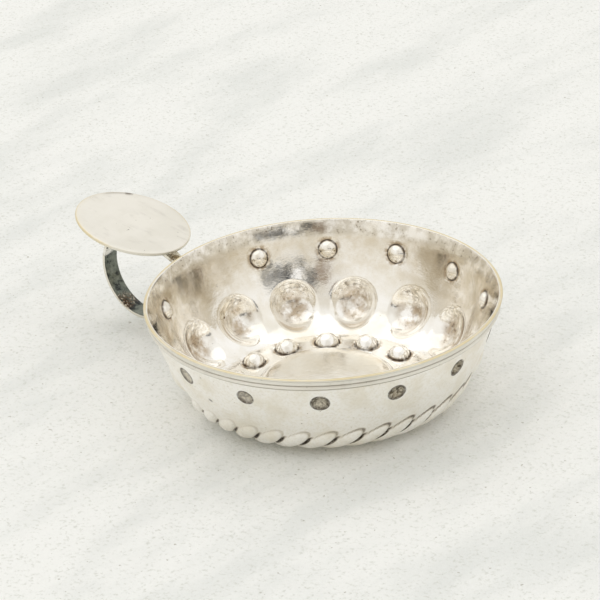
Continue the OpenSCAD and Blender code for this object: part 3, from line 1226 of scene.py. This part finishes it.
@dataclass
class FingerRing:
    """One bent strip: the finger ring and its two arms to the bowl."""

    ring_x: float = -57.0
    ring_z: float = 14.4
    ring_in: float = 10.6
    strip_t: float = 0.9
    strip_w: float = 4.3
    upper_fall: float = 26.0
    lower_rise: float = 13.0
    upper_l: float = 15.3
    lower_l: float = 20.9
    bevel: float = 0.2
    bevel_steps: int = 3
    # The upper arm narrows towards the bowl by this part of its width between these places
    taper: float = 0.3
    taper_x: tuple[float, float] = (-52.0, -44.0)
    steps: int = 120
    arm_steps: int = 8
    sharp_angle: float = 40.0
    # Middles of the corroded patch, of the run of solder and of the flux, and the distances where they fade
    corroded_at: tuple[float, float, float] = (-62.7, -0.6, 5.4)
    corroded_fade: tuple[float, float] = (1.6, 3.4)
    run_at: tuple[float, float, float] = (-67.2, -1.7, 17.8)
    run_fade: tuple[float, float] = (0.7, 1.6)
    joint_at: tuple[float, float, float] = (-43.5, 0.0, 20.2)
    joint_fade: tuple[float, float] = (2.5, 6.0)
    # How squarely a face looks at the ring's middle where tarnish and corrosion set in
    tarnish_facing: tuple[float, float] = (0.15, 0.75)
    corroded_facing: tuple[float, float] = (-0.2, 0.3)

    def __post_init__(self) -> None:
        """Works out the radius of the strip's middle line."""
        self.middle_r = self.ring_in + self.strip_t / 2

    def build(self) -> bpy.types.Object:
        """Spins the strip's section round the ring, draws out both arms and narrows the upper one.

        Returns:
            The piece.
        """
        piece = new_piece("finger_ring_strip", bpy.ops.mesh.primitive_plane_add, size=1.0)
        resize(self.strip_t * MM, self.strip_w * MM)
        bpy.ops.object.mode_set(mode="OBJECT")
        centre = Vector((self.ring_x, 0, self.ring_z)) * MM
        turn = Matrix.Rotation(math.radians(-90 - self.lower_rise), 4, "Y")
        out = Matrix.Translation(Vector((-self.middle_r * MM, 0, 0)))
        set_down(piece, Matrix.Translation(centre) @ turn @ out)
        bpy.ops.object.mode_set(mode="EDIT")
        bpy.ops.mesh.select_all(action="SELECT")
        sweep = math.radians(180 + self.lower_rise + self.upper_fall)
        bpy.ops.mesh.spin(steps=self.steps, angle=sweep, center=centre, axis=(0, -1, 0))
        bpy.ops.object.mode_set(mode="OBJECT")
        self.draw_out(piece, 90, -self.upper_fall, self.upper_l)
        self.draw_out(piece, -90, self.lower_rise, self.lower_l)
        bpy.ops.object.mode_set(mode="EDIT")
        close_mesh()
        round_edges(piece, self.bevel, self.bevel_steps, self.sharp_angle)
        points = points_of(piece)
        upper = (points[:, 0] > self.taper_x[0]) & (points[:, 2] > self.ring_z)
        points[:, 1] *= np.where(upper, 1 - self.taper * ease(points[:, 0], *self.taper_x), 1.0)
        set_points(piece, points)
        self.mark(piece)
        smooth(piece, self.sharp_angle)
        return piece

    def draw_out(self, piece: bpy.types.Object, quarter: float, rise: float, length: float) -> None:
        """Extrudes an end face of the ring into an arm.

        Args:
            piece: the ring so far.
            quarter: 90 for the end at the ring's top, -90 for the one at its bottom.
            rise: the arm's slope towards the bowl in degrees, below 0 where it falls.
            length: the arm's length in millimetres.
        """
        angle, slope = math.radians(quarter - rise), math.radians(rise)
        way = Vector((math.cos(slope), 0, math.sin(slope)))
        out = Vector((-math.cos(angle), 0, math.sin(angle)))
        end = (Vector((self.ring_x, 0, self.ring_z)) + out * self.middle_r) * MM
        faces = piece.data.polygons
        edit_face(piece, min(faces, key=lambda p: (p.center - end).length - MM * abs(p.normal.dot(way))))
        for _ in range(self.arm_steps):
            extrude(way * length * MM / self.arm_steps)
        bpy.ops.object.mode_set(mode="OBJECT")

    def mark(self, piece: bpy.types.Object) -> None:
        """Stores where the strip is tarnished and corroded, and where solder and flux ran.

        Args:
            piece: the finished strip.
        """
        points = points_of(piece)
        to_ring = np.array((self.ring_x, 0, self.ring_z)) - points
        to_ring[:, 1] = 0
        to_ring /= np.linalg.norm(to_ring, axis=1)[:, None]
        facing = (to_ring * vectors_of(piece, "normal")).sum(axis=1)
        patch = 1 - ease(distances(points, self.corroded_at), *self.corroded_fade)
        set_fields(piece, {
            "inner_face": ease(facing, *self.tarnish_facing),
            "patch": ease(facing, *self.corroded_facing) * patch,
            "run": 1 - ease(distances(points, self.run_at), *self.run_fade),
            "arm": 1 - ease(distances(points, self.joint_at), *self.joint_fade),
        })


@dataclass
class ThumbRest:
    """Oval plate on top of the ring."""

    ring: FingerRing
    length: float = 30.4
    width: float = 24.0
    thickness: float = 1.0
    tilt: float = 10.2
    shift: float = 4.3
    seat_cut: float = 0.2
    bevel: float = 0.42
    bevel_steps: int = 4
    # The plate is dished and gently wavy above a height and within its edge, and the wave loses a part of
    # itself towards the edge. Places towards the edge are given as a part of the oval
    wavy_over: float = 0.3
    wavy_within: float = 0.985
    wave_fade: tuple[float, float] = (0.9, 1.0)
    wave_loss: float = 0.3
    dish: float = 0.12
    wave: float = 0.06
    wave_size: float = 9.0
    wave_seed: float = 3.0
    # A dark smudge by its place on the plate, and a dirty line along the edge beside it by its angles
    smudge: tuple[float, float] = (-9.6, 9.0)
    smudge_dirt: float = 0.85
    smudge_fade: tuple[float, float] = (0.4, 1.5)
    line_from: tuple[float, float] = (132.0, 142.0)
    line_to: tuple[float, float] = (158.0, 172.0)
    line_in: tuple[float, float] = (0.94, 0.965)
    line_out: tuple[float, float] = (0.975, 0.99)
    line_darkness: float = 0.5
    # Where the edge is worn, and its wear by angle round the oval in degrees, 0 towards the bowl
    worn_at: tuple[float, float] = (0.955, 0.995)
    worn_edge: tuple[tuple[float, float], ...] = (
        (-180.0, 0.7),
        (-140.0, 1.0),
        (-95.0, 1.0),
        (-70.0, 0.25),
        (-20.0, 0.15),
        (20.0, 0.35),
        (60.0, 0.9),
        (105.0, 0.7),
        (130.0, 0.25),
        (180.0, 0.7),
    )
    sides: int = 128
    face_rings: int = 9
    back_rings: int = 3
    sharp_angle: float = 50.0

    def place(self) -> Matrix:
        """Finds where the plate, made flat at the origin, is set on its seat.

        Returns:
            The matrix that sets it there.
        """
        ring = self.ring
        seat = ring.ring_in + ring.strip_t - self.seat_cut
        centre = Matrix.Translation(Vector((ring.ring_x, 0, ring.ring_z)) * MM)
        tilt = Matrix.Rotation(math.radians(self.tilt), 4, "Y")
        return centre @ tilt @ Matrix.Translation(Vector((-self.shift, 0, seat)) * MM)

    def build(self) -> bpy.types.Object:
        """Draws the oval, gives it thickness, rounded edges and a gentle wave, and sets it on its seat.

        Returns:
            The piece.
        """
        circle = bpy.ops.mesh.primitive_circle_add
        piece = new_piece("thumb_plate", circle, vertices=self.sides, radius=1.0, fill_type="NGON")
        resize(self.length / 2 * MM, self.width / 2 * MM)
        extrude((0, 0, self.thickness * MM))
        close_mesh()
        round_edges(piece, self.bevel, self.bevel_steps, self.sharp_angle)
        self.ring_faces(piece)
        points = points_of(piece)
        oval = np.hypot(points[:, 0] / (self.length / 2), points[:, 1] / (self.width / 2))
        kept = 1 - ease(oval, *self.wave_fade) * self.wave_loss
        wave = self.wave * lumps(points, self.wave_size, self.wave_seed) * kept
        dish = self.dish * (1 - oval ** 2)
        upper = (points[:, 2] > self.wavy_over) & (oval < self.wavy_within)
        points[:, 2] += np.where(upper, wave - dish - self.wave, 0.0)
        set_points(piece, points)
        turn = np.degrees(np.arctan2(points[:, 1], points[:, 0]))
        smudge = np.hypot(points[:, 0] - self.smudge[0], points[:, 1] - self.smudge[1])
        beside = ease(turn, *self.line_from) * (1 - ease(turn, *self.line_to))
        line = self.line_darkness * beside * ease(oval, *self.line_in) * (1 - ease(oval, *self.line_out))
        set_fields(piece, {
            "wear": ease(oval, *self.worn_at) * np.interp(turn, *zip(*self.worn_edge)),
            "crevice": np.maximum(self.smudge_dirt * (1 - ease(smudge, *self.smudge_fade)), line),
        })
        set_down(piece, self.place())
        smooth(piece, self.sharp_angle)
        return piece

    def ring_faces(self, piece: bpy.types.Object) -> None:
        """Draws smaller and smaller rings on the two large faces, so that the plate can carry a gentle wave.

        Args:
            piece: the plate, flat at the origin.
        """
        for up, rings in ((1, self.face_rings), (-1, self.back_rings)):
            edit_face(piece, max(piece.data.polygons, key=lambda p: p.area * max(p.normal.z * up, 0)))
            for index in range(rings):
                extrude((0, 0, 0))
                ratio = (rings - index) / (rings + 1 - index)
                resize(ratio, ratio)
            bpy.ops.mesh.poke()
            bpy.ops.object.mode_set(mode="OBJECT")


@dataclass(frozen=True)
class Collar:
    """A collar of solder: its piece, its solid, its middle's X and Z, the wall's slope and a seed."""

    name: str
    node: str
    at: tuple[float, float]
    tilt: float
    seed: float


@dataclass
class SolderJoints:
    """Solder where the arms meet the wall and where the ring meets the thumb rest."""

    ring: FingerRing
    thumb: ThumbRest
    collars: tuple[Collar, ...] = (
        Collar("upper_arm_solder", "upper_solder", (-39.0, 18.0), -17.0, 1.0),
        Collar("lower_arm_solder", "lower_solder", (-34.6, 8.5), -30.0, 2.0),
    )
    # A collar's length, its spread round the strip, how it narrows across and up and over which stretch away
    # from the wall, and its lumps' height and size
    collar_l: float = 1.3
    spread: float = 0.75
    narrow: tuple[float, float] = (0.16, 0.38)
    narrow_span: tuple[float, float] = (-0.2, 0.65)
    cuts: int = 5
    collar_lump: tuple[float, float] = (0.13, 0.9)
    # Half sizes of a fillet under the plate, how far it stands off and sinks, its lumps' height and size,
    # and the depth below the plate where they start
    fillet: tuple[float, float, float] = (3.0, 0.75, 0.62)
    stand_off: float = 0.05
    sink: float = 0.22
    fillet_lump: tuple[float, float] = (0.12, 1.1)
    lumps_below: float = 0.02
    fillet_seed: float = 5.0
    sharp_angle: float = 60.0

    def collar(self, joint: Collar) -> bpy.types.Object:
        """Makes one uneven collar round the end of an arm.

        Args:
            joint: which collar, and where.

        Returns:
            The piece.
        """
        ring = self.ring
        piece = new_piece(joint.name, bpy.ops.mesh.primitive_cube_add, size=1.0)
        across, up = ring.strip_w + 2 * self.spread, ring.strip_t + 2 * self.spread
        resize(self.collar_l * MM, across * MM, up * MM)
        bpy.ops.mesh.subdivide(number_cuts=self.cuts)
        bpy.ops.object.mode_set(mode="OBJECT")
        apply_modifier(piece, "SUBSURF", levels=2, render_levels=2)
        points = points_of(piece)
        outer = ease(-points[:, 0], *self.narrow_span)
        points[:, 1] *= 1 - self.narrow[0] * outer
        points[:, 2] *= 1 - self.narrow[1] * outer
        height, size = self.collar_lump
        points += vectors_of(piece, "normal") * (height * lumps(points, size, joint.seed))[:, None]
        set_points(piece, points)
        place = Matrix.Translation(Vector((joint.at[0], 0, joint.at[1])) * MM)
        set_down(piece, place @ Matrix.Rotation(math.radians(joint.tilt), 4, "Y"))
        smooth(piece, self.sharp_angle)
        return piece

    def fillets(self) -> bpy.types.Object:
        """Makes the two runs of solder along the ring's edges, under the thumb rest, as one piece.

        Returns:
            The piece.
        """
        sphere = bpy.ops.mesh.primitive_uv_sphere_add
        piece = new_piece("thumb_plate_solder", sphere, segments=48, ring_count=24, radius=1.0)
        resize(*(half * MM for half in self.fillet))
        side = (self.ring.strip_w / 2 + self.stand_off) * MM
        bpy.ops.transform.translate(value=(0, side, -self.sink * MM))
        bpy.ops.mesh.duplicate_move(TRANSFORM_OT_translate={"value": (0, -2 * side, 0)})
        bpy.ops.object.mode_set(mode="OBJECT")
        points = points_of(piece)
        points[:, 2] = np.minimum(points[:, 2], 0.0)
        height, size = self.fillet_lump
        free = np.where(points[:, 2] < -self.lumps_below, height, 0.0)
        points += vectors_of(piece, "normal") * (free * lumps(points, size, self.fillet_seed))[:, None]
        set_points(piece, points)
        set_down(piece, self.thumb.place() @ Matrix.Translation(Vector((self.thumb.shift * MM, 0, 0))))
        smooth(piece, self.sharp_angle)
        return piece


@dataclass(frozen=True)
class Patch:
    """A round patch of the room: its middle, where it fades out and is full, in degrees, and its look."""

    name: str
    azimuth: float
    elevation: float
    edge: float
    core: float
    colour: str
    cover: float


@dataclass
class Studio:
    """Camera, floor and light."""

    look_at: tuple[float, float, float] = (0.0, 0.0, 24.6)
    distance: float = 700.0
    azimuth: float = 41.4
    elevation: float = 26.74
    roll: float = 3.19
    focal_px: float = 3072.64
    frame_px: float = 600.0
    centre_px: tuple[float, float] = (322.74, 294.93)
    sensor: float = 36.0
    # Nearest and farthest distance that the camera sees, in metres
    clip: tuple[float, float] = (0.01, 20.0)
    floor_side: float = 4000.0
    # Colour of the room by elevation in degrees
    room: tuple[tuple[float, str], ...] = (
        (0.0, "D4CBBA"),
        (6.0, "E4DED2"),
        (13.0, "F0EDE6"),
        (28.0, "F8F6F2"),
        (50.0, "FBFAF7"),
        (90.0, "F6F5F1"),
    )
    # What the polished wall mirrors of the room
    patches: tuple[Patch, ...] = (
        Patch("dim side of the room", -40.0, 34.0, 34.0, 8.0, "CFC9BD", 0.5),
        Patch("dark thing, left end", -9.0, 18.0, 6.0, 2.5, "3A3E44", 0.65),
        Patch("dark thing, left", -17.0, 18.5, 6.0, 2.5, "2E3238", 0.75),
        Patch("dark thing, middle", -25.0, 19.5, 6.0, 2.8, "262A30", 0.9),
        Patch("dark thing, right", -41.0, 24.0, 5.5, 2.5, "2E3238", 0.8),
        Patch("dark thing, over the gap", -33.0, 18.0, 5.5, 2.5, "2E3238", 0.8),
        Patch("brown thing", -49.0, 21.0, 6.5, 3.0, "7A6048", 0.7),
        Patch("bright gap", -31.0, 21.0, 5.4, 2.8, "FFFFFF", 1.0),
        Patch("dim thing, far side", 82.0, 10.0, 13.0, 5.0, "6B655A", 0.55),
        Patch("dim thing, handle side", 172.0, 12.0, 9.0, 3.0, "5A564E", 0.55),
    )
    # Lamp's middle in metres, diameter in metres and power in watts
    lamp_at: tuple[float, float, float] = (-0.5, 0.0, 1.6)
    lamp_d: float = 2.2
    lamp_w: float = 2.8

    def camera(self) -> None:
        """Sets the camera at the photograph's viewing angle."""
        data = bpy.data.cameras.new("camera")
        data.sensor_width = self.sensor
        data.lens = self.focal_px / self.frame_px * self.sensor
        data.shift_x = (self.frame_px / 2 - self.centre_px[0]) / self.frame_px
        data.shift_y = (self.centre_px[1] - self.frame_px / 2) / self.frame_px
        data.clip_start, data.clip_end = self.clip
        camera = bpy.data.objects.new("camera", data)
        bpy.context.scene.collection.objects.link(camera)
        turn, rise = math.radians(self.azimuth), math.radians(self.elevation)
        back = Vector((math.sin(turn) * math.cos(rise), -math.cos(turn) * math.cos(rise), math.sin(rise)))
        camera.location = (Vector(self.look_at) + back * self.distance) * MM
        aim = (-back).to_track_quat("-Z", "Y").to_matrix().to_4x4()
        aim = aim @ Matrix.Rotation(math.radians(-self.roll), 4, "Z")
        camera.rotation_euler = aim.to_euler()
        bpy.context.scene.camera = camera

    def floor(self, material: bpy.types.Material) -> None:
        """Lays the floor under the foot.

        Args:
            material: the floor's material.
        """
        piece = new_piece("floor", bpy.ops.mesh.primitive_plane_add, size=1.0)
        resize(self.floor_side * MM, self.floor_side * MM)
        bpy.ops.object.mode_set(mode="OBJECT")
        piece.data.materials.append(material)

    def light(self) -> None:
        """Lights the scene with a bright room, warm near the horizon, and a large soft lamp overhead."""
        scene = bpy.context.scene
        scene.view_settings.view_transform = "Standard"
        world = bpy.data.worlds.new("room")
        scene.world = world
        world.use_nodes = True
        tree = world.node_tree
        tree.nodes.clear()
        way = add(tree, "ShaderNodeTexCoord").outputs["Generated"]
        height = add(tree, "ShaderNodeSeparateXYZ", {"Vector": way}).outputs["Z"]
        walls = add(tree, "ShaderNodeValToRGB", {"Fac": height})
        stops = walls.color_ramp.elements
        stops[0].color, stops[1].color = linear(self.room[0][1]), linear(self.room[-1][1])
        for rise, code in self.room[1:-1]:
            stops.new(math.sin(math.radians(rise))).color = linear(code)
        colour = walls.outputs["Color"]
        for patch in self.patches:
            turn, rise = math.radians(patch.azimuth), math.radians(patch.elevation)
            edge, core = math.cos(math.radians(patch.edge)), math.cos(math.radians(patch.core))
            middle = (math.cos(turn) * math.cos(rise), math.sin(turn) * math.cos(rise), math.sin(rise))
            links = {0: way, 1: middle}
            near = add(tree, "ShaderNodeVectorMath", links, operation="DOT_PRODUCT").outputs["Value"]
            links = {"Value": near, "From Min": edge, "From Max": core, "To Min": 0.0, "To Max": patch.cover}
            mask = add(tree, "ShaderNodeMapRange", links, interpolation_type="SMOOTHSTEP").outputs["Result"]
            links = {0: mask, 6: colour, 7: linear(patch.colour)}
            colour = add(tree, "ShaderNodeMix", links, data_type="RGBA", label=patch.name).outputs[2]
        sky = add(tree, "ShaderNodeBackground", {"Color": colour, "Strength": 1.0})
        add(tree, "ShaderNodeOutputWorld", {"Surface": sky.outputs[0]})

        lamp = bpy.data.lights.new("soft_lamp", "AREA")
        lamp.shape = "DISK"
        lamp.size = self.lamp_d
        lamp.energy = self.lamp_w
        holder = bpy.data.objects.new("soft_lamp", lamp)
        scene.collection.objects.link(holder)
        holder.location = self.lamp_at
        holder.rotation_euler = (-Vector(holder.location)).to_track_quat("-Z", "Y").to_euler()


def main() -> None:
    """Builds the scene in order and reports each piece."""
    logging.basicConfig(level=logging.INFO, format="%(message)s")
    studio = Studio()
    studio.camera()
    studio.floor(PaintedPlaster().make())
    studio.light()

    chased = ChasedSilverPlate().make()
    worn = WornSilverPlate().make()
    strip = TarnishedStrip().make()
    solder = BrazingSolder().make()

    bowl = Bowl()
    ring = FingerRing()
    thumb = ThumbRest(ring)
    joints = SolderJoints(ring, thumb)
    lay_finish(bowl.build(), chased, Slot.SILVER, "bowl")
    lay_finish(RimMoulding(bowl).build(), worn, Slot.WORN, "rim_moulding")
    lay_finish(ring.build(), strip, Slot.SILVER, "ring_handle")
    lay_finish(thumb.build(), worn, Slot.WORN, "thumb_rest")
    for joint in joints.collars:
        lay_finish(joints.collar(joint), solder, Slot.SOLDER, joint.node)
    lay_finish(joints.fillets(), solder, Slot.SOLDER, "thumb_solder")


if __name__ == "__main__":
    main()
